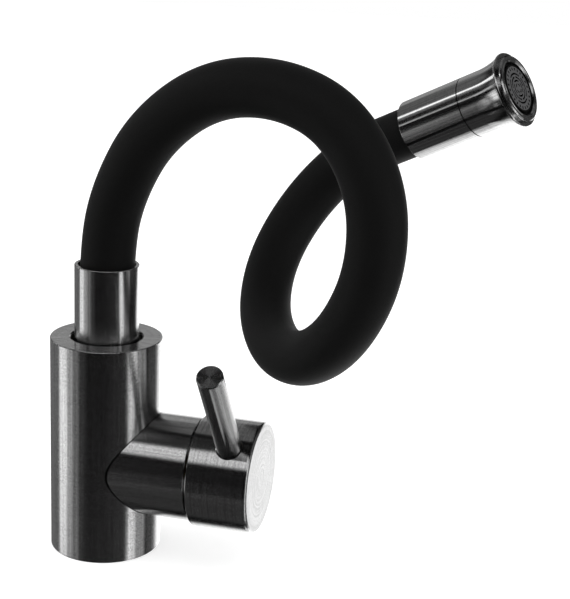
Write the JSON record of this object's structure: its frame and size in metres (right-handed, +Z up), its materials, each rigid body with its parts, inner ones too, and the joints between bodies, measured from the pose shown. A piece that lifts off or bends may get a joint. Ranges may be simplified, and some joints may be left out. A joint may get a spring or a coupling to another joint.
{
  "type": "flexible sink mixer",
  "caption": "Single-lever sink mixer: upright cylindrical body, side lever branch, swivelling riser and a flexible black gooseneck spout looped over to a trumpet-shaped spray head.",
  "frame": {"origin": "centre of the deck face under the body, on the axis of the upright body", "axes": "+Z up along the body and the spout's swivel axis, +X along the lever branch, -Y towards the person at the sink"},
  "size_m": [0.1992, 0.1628, 0.2277],
  "materials": {
    "brushed_steel": "fine circumferential brushing",
    "satin_steel": "turned and lightly polished",
    "polished_ring": "polished",
    "black_rubber": "moulded",
    "black_silicone": "matt extruded silicone",
    "white_acetal": "moulded",
    "alumina_ceramic": "lapped ceramic",
    "turned_brass": "turned",
    "bright_steel": "bright drawn",
    "dark_screw_steel": "blackened",
    "clear_hose_plastic": "extruded",
    "black_plastic": "moulded"
  },
  "bodies": {
    "root": {"mixer_body": "brushed_steel", "index_plug": "satin_steel", "base_seal": "black_rubber", "spout_bearing": "white_acetal", "spout_retaining_screw": "dark_screw_steel", "cartridge_base": "white_acetal", "port_seals": "black_rubber", "fixed_disc": "alumina_ceramic", "cartridge_housing": "white_acetal", "cartridge_nut": "turned_brass"},
    "rotor": {"cartridge_rotor": "white_acetal", "rotor_seal": "black_rubber", "pivot_pin": "bright_steel"},
    "disc": {"disc_carrier": "white_acetal", "moving_disc": "alumina_ceramic"},
    "lever": {"lever_stem": "turned_brass", "knob_hub": "bright_steel", "stem_screw": "dark_screw_steel", "knob_shell": "brushed_steel", "lever_pin": "brushed_steel"},
    "spout": {"spout_spigot": "turned_brass", "spigot_seals": "black_rubber", "riser_tube": "brushed_steel", "hose_fitting_lower": "turned_brass", "hose_washer_lower": "black_rubber", "silicone_sleeve": "black_silicone", "gooseneck_core": "bright_steel", "water_hose": "clear_hose_plastic"},
    "head": {"silicone_sleeve_tip": "black_silicone", "gooseneck_core_tip": "bright_steel", "water_hose_tip": "clear_hose_plastic", "hose_fitting_upper": "turned_brass", "hose_washer_upper": "black_rubber", "head_sleeve": "satin_steel", "head_core": "turned_brass", "nozzle_seal": "black_rubber", "nozzle_circlip": "bright_steel"},
    "nozzle": {"head_nozzle": "satin_steel", "front_ring": "polished_ring", "selector_disc": "black_plastic", "aerator_gasket": "black_rubber", "aerator_housing": "black_plastic", "aerator_screen": "black_plastic", "aerator_grid": "black_plastic"}
  },
  "joints": [
    {"name": "spout_swivel", "type": "hinge", "parent": "root", "child": "spout", "pos_m": [0, 0, 0.08], "axis": [0, 0, 1], "range_deg": [-5, 235]},
    {"name": "head_aim", "type": "hinge", "parent": "spout", "child": "head", "pos_m": [0.099, 0.0922, 0.1786], "axis": [0.3206, 0.9472, 0], "range_deg": [-20, 20], "deforming": ["silicone_sleeve_tip", "gooseneck_core_tip", "water_hose_tip"]},
    {"name": "nozzle_turn", "type": "hinge", "parent": "head", "child": "nozzle", "pos_m": [0.15258, 0.07506, 0.20597], "axis": [0.8521, -0.2884, 0.4368], "range_deg": [0, 90]},
    {"name": "lever_turn", "type": "hinge", "parent": "root", "child": "rotor", "pos_m": [0.041, 0, 0.0415], "axis": [1, 0, 0], "range_deg": [-10, 80]},
    {"name": "lever_tilt", "type": "hinge", "parent": "rotor", "child": "lever", "pos_m": [0.041, 0, 0.0415], "axis": [0, 0.766, 0.6428], "range_deg": [0, 22]},
    {"name": "disc_slide", "type": "slide", "parent": "rotor", "child": "disc", "axis": [0, -0.6428, 0.766], "range_m": [0, 0.00385]}
  ],
  "couplings": [
    {"joint": "disc_slide", "follows": "lever_tilt", "m_per_rad": 0.01}
  ]
}
